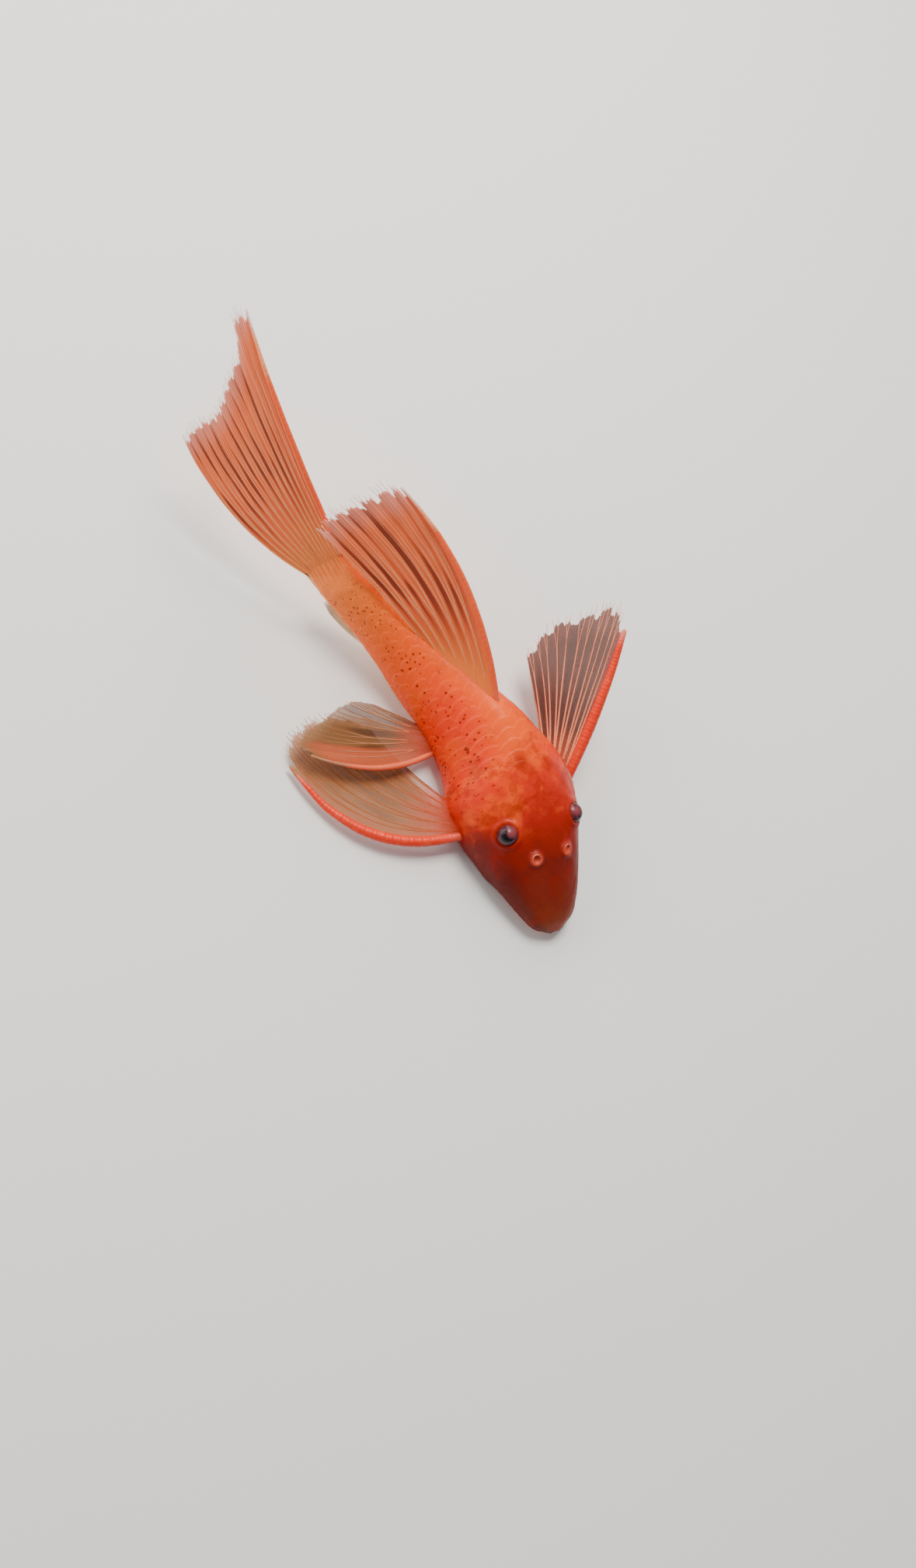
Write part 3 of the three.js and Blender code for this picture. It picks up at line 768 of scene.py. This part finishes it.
def make_flap(side, name, material):
    seat, facing = skin_seat(NOSTRIL_STATION, side_angle(side, NOSTRIL_ANGLE))
    back = square_to(facing, (0.0, 1.0, 0.2))
    aside = np.cross(facing, back)
    turn = np.linspace(-FLAP_ARC, FLAP_ARC, FLAP_COLUMNS)[None, :]
    rise = np.linspace(0, 1, FLAP_ROWS)[:, None]
    height = (0.42 + 0.34 * np.cos(turn * 0.8)) * MM
    lift = rise * height - FLAP_SUNK
    layers = []
    for thick in (FLAP_HALF_THICKNESS, -FLAP_HALF_THICKNESS):
        radius = NOSTRIL_RADIUS * (1 - 0.12 * rise) + thick * (1 - 0.55 * rise ** 2)
        along = radius * np.cos(turn)
        across = radius * np.sin(turn) * 0.86
        layers.append(seat + np.stack([along, across, lift], -1) @ np.array([back, aside, facing]))
    points, faces = sheet(*layers)
    piece = make_piece(name, points, [faces], [material])


# Sucker mouth: lips round an oval disc, the mouth in the middle and a short barbel at each corner
LIP_ROWS = 69
LIP_COLUMNS = 120
LIP_REACH = 0.93
MOUTH_HOLE = 0.22
BARBEL_REACH = 0.077
BARBEL_ANGLE = 0.12
BARBEL_WIDTH = 0.13
WART_RISE = 0.04 * MM


def make_mouth(material):
    over = np.linspace(0, 2 * np.pi, LIP_ROWS, endpoint=False)[:, None]
    turn = np.linspace(0, 2 * np.pi, LIP_COLUMNS, endpoint=False)[None, :]
    tube = 0.5 + 0.5 * np.cos(over)
    radius = LIP_REACH * (MOUTH_HOLE + (1 - MOUTH_HOLE) * tube)
    radius = radius * (1 + 0.05 * np.sin(turn * 9) * tube + 0.03 * np.sin(turn * 23 + 1) * tube)
    corners = hump(turn, BARBEL_ANGLE, BARBEL_WIDTH) + hump(turn, np.pi - BARBEL_ANGLE, BARBEL_WIDTH)
    barbel = BARBEL_REACH * corners * tube ** 6
    x = DISC_HALF_WIDTH * radius * np.cos(turn) * (1 + barbel)
    y = DISC_HALF_LENGTH * radius * np.sin(turn) + (DISC_STATION - ORIGIN_STATION) * LENGTH
    z = DISC_THICKNESS * (0.5 + 0.5 * np.sin(over)) * (0.82 + 0.18 * np.cos(turn) ** 2)
    points = np.stack([x, y, z], -1)
    points[..., 2] = np.maximum(points[..., 2] + WART_RISE * ripple(points, 0.5 * MM), 0)
    faces = grid_faces(LIP_ROWS, LIP_COLUMNS, closed=True, looped=True)
    piece = make_piece("mouth_disc_lips", points.reshape(-1, 3), [faces], [material])
    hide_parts("mouth_disc")


# Fins
RAY_SIDES = 8
RAY_STEPS = 64
SPINE_STEPS = 110
MEMBRANE_ROWS = 90
MEMBRANE_COLUMNS = 18
MEMBRANE_REACH = 0.965
FORK_SCATTER = 0.04
THINNEST_RAY = 0.042 * MM

# Half the gap between the two branches of a ray, and between their twigs, as shares of the rays' gap
BRANCH_SPREAD = 0.125
TWIG_SPREAD = 0.062

# A fin's sizes where its own list gives none. Millimetres: pleat, the membrane's sag between rays,
# and root_thick, its root lobe. Shares of the length: root_out, the lobe's reach, tear, the notches,
# fray, how far rays pass the edge, fork and twig, from root to first and on to second fork. slim is
# the share by which the spine thins.
USUAL_FIN = {
    "pleat": 0.2, "root_thick": 0.9, "root_out": 0.175, "tear": 0.02, "fray": 0.02, "fork": 0.36,
    "twig": 0.27, "slim": 0.62,
}


def curve_point(knots, share):
    """Point on a smooth curve through the knots, spaced by the root of their distances."""
    knots = np.asarray(knots, float)
    share = np.clip(np.asarray(share, float), 0, 1)
    last = len(knots) - 1
    padded = np.concatenate([[2 * knots[0] - knots[1]], knots, [2 * knots[-1] - knots[-2]]])
    i = np.minimum((share * last).astype(int), last - 1)
    t = (share * last - i)[..., None]
    corners = [padded[i + k] for k in range(4)]
    d0, d1, d2 = (
        np.sqrt(np.linalg.norm(after - before, axis=-1, keepdims=True))
        for before, after in zip(corners, corners[1:])
    )
    p0, p1, p2, p3 = corners
    start = ((p1 - p0) / d0 - (p2 - p0) / (d0 + d1) + (p2 - p1) / d1) * d1
    end = ((p2 - p1) / d1 - (p3 - p1) / (d1 + d2) + (p3 - p2) / d2) * d1
    square = 3 * (p2 - p1) - 2 * start - end
    cube = 2 * (p1 - p2) + start + end
    return p1 + start * t + square * t ** 2 + cube * t ** 3


class FinSurface:
    """A fan of bowed rays; a point is given by share out along the ray and share across the fan."""

    def __init__(self, spec):
        self.base = spec["base"]
        self.middle = spec["middle"]
        self.tips = spec["tips"]
        self.gaps = spec["rays"] - 1
        self.pleat = spec["pleat"] * MM
        self.wave = make_wave(7 * MM)

    def point(self, out, across):
        out, across = np.broadcast_arrays(np.asarray(out, float), np.asarray(across, float))
        start = curve_point(self.base, across)
        end = curve_point(self.tips, across)
        bow = 2 * curve_point(self.middle, across) - 0.5 * start - 0.5 * end
        u = out[..., None]
        return start * (1 - u) ** 2 + 2 * bow * u * (1 - u) + end * u ** 2

    def normal(self, out, across):
        small = 0.004
        inner = np.clip(across, small, 1 - small)
        along = self.point(out + small, inner) - self.point(out - small, inner)
        aside = self.point(out, inner + small) - self.point(out, inner - small)
        return unit(np.cross(along, aside))

    def draped(self, out, across):
        """The point with the membrane's sag between rays and its soft waves."""
        plain = self.point(out, across)
        sag = self.pleat * (0.5 - 0.5 * np.cos(across * self.gaps * 2 * np.pi)) * smooth(out, 0.05, 0.7)
        push = self.wave(plain) * 0.09 * MM * out - sag
        return plain + self.normal(out, across) * push[..., None]


def ray_tubes(surface, courses):
    """Tapered tubes along courses of (out, across, radius) on the fin, each closed at both ends."""
    points = []
    marks = []
    quads = []
    triangles = []
    start = 0
    turn = np.linspace(0, 2 * np.pi, RAY_SIDES, endpoint=False)[None, :, None]
    for out, across, radius in courses:
        middle = surface.draped(out, across)
        forward = unit(np.gradient(middle, axis=0))
        aside = unit(np.cross(forward, surface.normal(out, across)))
        normal = np.cross(aside, forward)
        size = radius[:, None, None]
        rings = middle[:, None] + size * (np.cos(turn) * aside[:, None] + np.sin(turn) * normal[:, None])
        points += [rings.reshape(-1, 3), middle[:1], middle[-1:] + forward[-1:] * radius[-1]]
        ring_marks = np.repeat(np.stack([out, across, radius / MM], -1), RAY_SIDES, axis=0)
        marks += [ring_marks, ring_marks[:1], ring_marks[-1:]]
        hub = start + len(out) * RAY_SIDES
        first_ring = start + np.arange(RAY_SIDES)
        last_ring = hub - RAY_SIDES + np.arange(RAY_SIDES)
        quads.append(grid_faces(len(out), RAY_SIDES, closed=True)[:, ::-1] + start)
        triangles += [cap_faces(first_ring, hub)[:, ::-1], cap_faces(last_ring, hub + 1)]
        start = hub + 2
    return [np.concatenate(parts) for parts in (points, marks, quads, triangles)]


def ray_courses(spec):
    """The soft rays of a fan: each forks twice, and its four ends pass the membrane's edge."""
    courses = []
    gap = 1 / (spec["rays"] - 1)
    for i in range(1, spec["rays"]):
        first_fork = spec["fork"] + draw.uniform(-FORK_SCATTER, FORK_SCATTER)
        second_fork = first_fork + spec["twig"] + draw.uniform(-FORK_SCATTER, FORK_SCATTER)
        for branch in (-1, 1):
            for twig in (-1, 1):
                end = 1 + draw.uniform(-0.012, spec["fray"])
                out = np.linspace(0, end, RAY_STEPS)
                wide = BRANCH_SPREAD * smooth(out, first_fork, first_fork + 0.3) * branch
                wide = wide + TWIG_SPREAD * smooth(out, second_fork, second_fork + 0.25) * twig
                wide = wide * (1 + 0.9 * out)
                sway = 0.02 * np.sin(out * 9 + draw.uniform(0, 6)) * out
                across = np.clip((i + wide + sway) * gap, 0, 1)
                slim = np.where(out < first_fork, 1, np.where(out < second_fork, 0.74, 0.56))
                taper = 0.5 * slim + 0.5 * np.interp(out, [0, 1.05], [1, 0.5])
                radius = spec["ray"] * MM / 2 * (1 - 0.62 * out) * taper
                courses.append((out, across, np.maximum(radius, THINNEST_RAY)))
    return courses


def spine_course(spec):
    """The stout first ray, thickest at its middle and a little rough."""
    out = np.linspace(0, 1, SPINE_STEPS)
    radius = spec["spine"] * MM / 2 * (0.78 + 0.3 * np.sin(np.pi * out ** 0.8))
    radius = radius * (1 - spec["slim"] * out ** 3)
    radius = radius * (1 + 0.015 * np.sin(out * 160) + 0.012 * draw.normal(size=SPINE_STEPS))
    return out, np.full(SPINE_STEPS, 0.002), radius


def make_fin(name, node, own_spec, membrane, ray):
    spec = {**USUAL_FIN, **own_spec}
    surface = FinSurface(spec)
    gaps = spec["rays"] - 1
    columns = gaps * MEMBRANE_COLUMNS + 1
    across = np.linspace(0, 1, columns)
    phase = across * gaps * 2 * np.pi
    notch = MEMBRANE_REACH + 0.012 * (0.5 + 0.5 * np.cos(phase * 4)) + 0.006 * draw.normal(size=columns)
    notch = notch - spec["tear"] * (0.5 - 0.5 * np.cos(phase)) ** 3
    out = np.linspace(0, 1, MEMBRANE_ROWS)[:, None] * notch[None, :]
    grid_across = np.broadcast_to(across[None, :], out.shape)
    middle = surface.draped(out, grid_across)
    lobe = 1 - smooth(out, 0.02, spec["root_out"])
    lobe = lobe * (1 - (2 * grid_across - 1) ** 4) ** 0.5
    half = (0.09 - 0.05 * out + spec["root_thick"] * lobe) * MM
    push = surface.normal(out, grid_across) * half[..., None]
    sheet_points, sheet_faces = sheet(middle + push, middle - push)
    sheet_marks = np.stack([out, grid_across * gaps, np.zeros_like(out)], -1).reshape(-1, 3)
    courses = [spine_course(spec)] + ray_courses(spec)
    tube_points, tube_marks, quads, triangles = ray_tubes(surface, courses)
    count = len(sheet_points)
    faces = [sheet_faces, quads + count, triangles + count]
    kinds = np.repeat([0, 1, 1], [len(part) for part in faces])
    piece = make_piece(
        name, np.concatenate([sheet_points, tube_points]), faces, [membrane, ray],
        np.concatenate([sheet_marks, sheet_marks, tube_marks]), kinds,
    )
    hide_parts(node)


def in_line(rows):
    stations, lefts, heights = np.array(rows, float).T
    return place(stations, lefts, heights)


def side_points(side, station, rows):
    """Points of a paired fin, as shares outward, backward and above the floor at its station."""
    centre, back, left, _ = frame_at(np.array(station))
    out = unit(left * (1, 1, 0)) * side
    behind = unit(back * (1, 1, 0))
    foot = centre * (1, 1, 0)
    rows = np.array(rows, float) * LENGTH
    return foot + rows[:, :1] * out + rows[:, 1:2] * behind + rows[:, 2:] * np.array([0, 0, 1])


def raised(rows):
    return [
        (0.15 + outward * np.cos(PECTORAL_LIFT), behind, 0.055 + outward * np.sin(PECTORAL_LIFT))
        for outward, behind in rows
    ]


def fin_specs():
    """Each fin's ray count, diameters of spine and rays in millimetres, outline and own sizes."""
    pelvic = {
        "rays": 6, "spine": 0.95, "ray": 0.38, "fork": 0.06, "twig": 0.45, "fray": 0.01, "pleat": 0.1,
        "root_thick": 1.0, "root_out": 0.225,
    }
    return {
        "dorsal_fin": {
            "rays": 8, "spine": 1.0, "ray": 0.5, "fork": 0.24, "fray": 0.03, "tear": 0.03, "pleat": 0.28,
            "root_thick": 0.6,
            "base": in_line([(0.478, 0, 0.185), (0.57, 0, 0.17), (0.664, 0, 0.15)]),
            "middle": in_line([
                (0.757, 0.004, 0.335), (0.79, 0, 0.285), (0.83, -0.012, 0.22), (0.86, -0.024, 0.167),
            ]),
            "tips": in_line([
                (1.03, 0.01, 0.362), (1.055, 0.004, 0.345), (1.067, -0.004, 0.294), (1.08, -0.014, 0.245),
                (1.09, -0.024, 0.21), (1.07, -0.036, 0.172),
            ]),
        },
        "caudal_fin": {
            "rays": 14, "spine": 0.9, "ray": 0.42, "fork": 0.25, "fray": 0.025, "pleat": 0.15,
            "root_thick": 0.1, "root_out": 0.125,
            "base": in_line([(0.985, 0, 0.146), (0.985, 0, 0.097), (0.985, 0, 0.048)]),
            "middle": in_line([(1.268, 0.02, 0.256), (1.2, 0.02, 0.13), (1.18, 0.02, 0.008)]),
            "tips": in_line([
                (1.494, 0.09, 0.342), (1.507, 0.087, 0.318), (1.443, 0.082, 0.262), (1.421, 0.078, 0.214),
                (1.396, 0.074, 0.167), (1.378, 0.07, 0.13), (1.382, 0.066, 0.102), (1.387, 0.062, 0.07),
                (1.377, 0.06, 0.034),
            ]),
        },
        "anal_fin": {
            "rays": 5, "spine": 0.6, "ray": 0.5, "fray": 0.05, "tear": 0.05,
            "base": in_line([(0.737, 0, 0.03), (0.785, 0, 0.035)]),
            "middle": in_line([(0.822, 0, 0.012), (0.85, 0, 0.03)]),
            "tips": in_line([(0.89, 0, 0.012), (0.915, 0, 0.026), (0.91, 0, 0.04)]),
        },
        "adipose_fin": {
            "rays": 2, "spine": 0.8, "ray": 0.3, "tear": 0.0,
            "base": in_line([(0.85, 0, 0.14), (0.905, 0, 0.14)]),
            "middle": in_line([(0.885, 0.002, 0.168), (0.91, 0.002, 0.155)]),
            "tips": in_line([(0.925, 0.006, 0.18), (0.93, 0.006, 0.158)]),
        },
        "pectoral_fin_right": {
            "rays": 7, "spine": 1.7, "ray": 0.3, "fork": 0.06, "twig": 0.5, "fray": 0.01, "pleat": 0.1,
            "root_thick": 1.2, "root_out": 0.2125,
            "base": side_points(-1, PECTORAL_STATION, [(0.125, -0.028, 0.05), (0.125, 0.035, 0.042)]),
            "middle": side_points(-1, PECTORAL_STATION, [
                (0.34, 0.045, 0.032), (0.31, 0.12, 0.02), (0.25, 0.16, 0.014), (0.19, 0.165, 0.014),
            ]),
            "tips": side_points(-1, PECTORAL_STATION, [
                (0.452, 0.242, 0.02), (0.436, 0.305, 0.014), (0.37, 0.335, 0.012), (0.29, 0.32, 0.012),
                (0.235, 0.27, 0.012),
            ]),
        },
        "pectoral_fin_left": {
            "rays": 7, "spine": 1.7, "ray": 0.52, "fork": 0.04, "twig": 0.72, "fray": 0.04, "tear": 0.035,
            "pleat": 0.12, "slim": 0.35, "root_thick": 1.1,
            "base": side_points(1, PECTORAL_STATION, raised([(-0.025, -0.022), (-0.025, 0.035)])),
            "middle": side_points(1, PECTORAL_STATION, raised([
                (0.14, 0.125), (0.12, 0.165), (0.07, 0.185), (0.01, 0.17),
            ])),
            "tips": side_points(1, PECTORAL_STATION, raised([
                (0.272, 0.265), (0.28, 0.33), (0.217, 0.34), (0.12, 0.352), (0.044, 0.314),
            ])),
        },
        "pelvic_fin_right": {
            **pelvic,
            "base": side_points(-1, PELVIC_STATION, [(0.07, -0.024, 0.036), (0.07, 0.03, 0.036)]),
            "middle": side_points(-1, PELVIC_STATION, [
                (0.225, 0.03, 0.05), (0.22, 0.09, 0.05), (0.15, 0.11, 0.044), (0.105, 0.095, 0.04),
            ]),
            "tips": side_points(-1, PELVIC_STATION, [
                (0.344, 0.153, 0.062), (0.352, 0.2, 0.06), (0.27, 0.2, 0.054), (0.18, 0.19, 0.048),
                (0.135, 0.15, 0.044),
            ]),
        },
        "pelvic_fin_left": {
            **pelvic,
            "base": side_points(1, PELVIC_STATION, [(0.07, -0.024, 0.03), (0.07, 0.03, 0.034)]),
            "middle": side_points(1, PELVIC_STATION, [
                (0.165, 0.065, 0.02), (0.155, 0.11, 0.018), (0.115, 0.125, 0.018),
            ]),
            "tips": side_points(1, PELVIC_STATION, [
                (0.235, 0.19, 0.014), (0.225, 0.24, 0.014), (0.165, 0.255, 0.014), (0.105, 0.225, 0.016),
            ]),
        },
    }


def make_fins():
    salmon = (hue(252, 128, 56), hue(252, 108, 56), hue(242, 146, 124), hue(116, 46, 34))
    amber = (hue(214, 78, 40), hue(172, 104, 40), hue(186, 122, 70), hue(84, 40, 14))
    brown = (hue(204, 72, 40), hue(136, 92, 50), hue(158, 118, 80), hue(60, 30, 16))
    clear = (hue(224, 96, 50), hue(104, 52, 34), hue(140, 78, 60), hue(48, 20, 12))
    pale = (hue(252, 168, 96), hue(252, 204, 156), hue(252, 232, 214), hue(120, 60, 40))
    red = hue(234, 50, 10)
    membranes = {
        "dorsal": (salmon, hue(238, 102, 56), 1.2, 0.85, 0.97),
        "caudal": (salmon, hue(248, 102, 54), 2.7, 0.85, 0.97),
        "side": (amber, hue(190, 104, 42), 1.2, 0.35, 0.46),
        "pelvic": (brown, hue(226, 100, 60), 1.7, 0.7, 0.54),
        "raised": (clear, hue(150, 56, 36), 1.0, 0.35, 0.72),
        "pale": (pale, hue(250, 214, 174), 1.0, 0.7, 0.95),
    }
    rays = {
        "orange": (hue(253, 156, 84), hue(254, 154, 106), hue(248, 210, 208), hue(244, 92, 40)),
        "brown": (hue(206, 84, 48), hue(168, 92, 42), hue(176, 112, 64), red),
        "beige": (hue(214, 104, 66), hue(176, 116, 84), hue(190, 140, 104), hue(236, 104, 66)),
        "pink": (hue(248, 164, 110), hue(244, 150, 116), hue(250, 190, 172), red),
        "cream": (hue(250, 186, 130), hue(252, 222, 186), hue(253, 238, 224), hue(252, 222, 186)),
    }
    looks = {
        "dorsal_fin": ("dorsal", "orange"), "caudal_fin": ("caudal", "orange"),
        "anal_fin": ("pale", "cream"), "adipose_fin": ("dorsal", "orange"),
        "pectoral_fin_right": ("side", "brown"), "pectoral_fin_left": ("raised", "pink"),
        "pelvic_fin_right": ("pelvic", "beige"), "pelvic_fin_left": ("pelvic", "beige"),
    }
    membrane_looks = {kind: membrane_material("membrane_" + kind, *look) for kind, look in membranes.items()}
    ray_looks = {kind: ray_material("ray_" + kind, *look) for kind, look in rays.items()}
    for node, spec in fin_specs().items():
        membrane, ray = looks[node]
        make_fin(node + "_dressed", node, spec, membrane_looks[membrane], ray_looks[ray])


# Floor and light
FLOOR_HALF_WIDTH = 3.0
FLOOR_DROP = 0.02 * MM
LOWEST_LAMP = 0.05


def make_floor():
    half = FLOOR_HALF_WIDTH
    points = [(-half, -half, 0), (half, -half, 0), (half, half, 0), (-half, half, 0)]
    mesh = bpy.data.meshes.new("floor")
    mesh.from_pydata(points, [], [(0, 1, 2, 3)])
    mesh.materials.append(floor_material())
    floor = add_object("floor", mesh)
    floor.location.z = -FLOOR_DROP


def make_light(name, offset, size, power, color):
    """A soft square lamp; offset is to the picture's right, up and towards the camera, in metres."""
    towards = np.array(offset) @ np.array(camera_axes())
    towards[2] = max(towards[2], LOWEST_LAMP)
    away_from = unit(towards)
    data = bpy.data.lights.new(name, "AREA")
    data.shape = "SQUARE"
    data.size = size
    data.energy = power
    data.color = color
    lamp = add_object(name, data)
    side = unit(np.cross([0.1, 0.3, 1], away_from))
    lamp.matrix_world = pose_matrix(side, np.cross(away_from, side), away_from, CAMERA_TARGET + towards)


def make_lights():
    make_light("key", (0.16, 0.33, 0.32), 0.22, 2.9, (1.0, 0.96, 0.9))
    make_light("fill", (-0.3, 0.22, 0.25), 0.4, 1.5, (1.0, 0.97, 0.93))
    make_light("rim", (0.05, 0.5, 0.1), 0.3, 1.2, (1.0, 0.98, 0.95))
    world = bpy.data.worlds.new("world")
    world.use_nodes = True
    background = world.node_tree.nodes["Background"]
    background.inputs["Color"].default_value = (0.9, 0.93, 1.0, 1)
    background.inputs["Strength"].default_value = 0.3
    bpy.context.scene.world = world


make_camera()
make_skin(skin_material())
eye_look = eye_material()
make_eye(1, "eye_left_ball", "eye_left", eye_look)
make_eye(-1, "eye_right_ball", "eye_right", eye_look)
flap_look = flap_material()
make_flap(1, "nostril_flap_left", flap_look)
make_flap(-1, "nostril_flap_right", flap_look)
make_mouth(mouth_material())
make_fins()
make_floor()
make_lights()


def plain(box):
    return [[float(value) for value in corner] for corner in box]
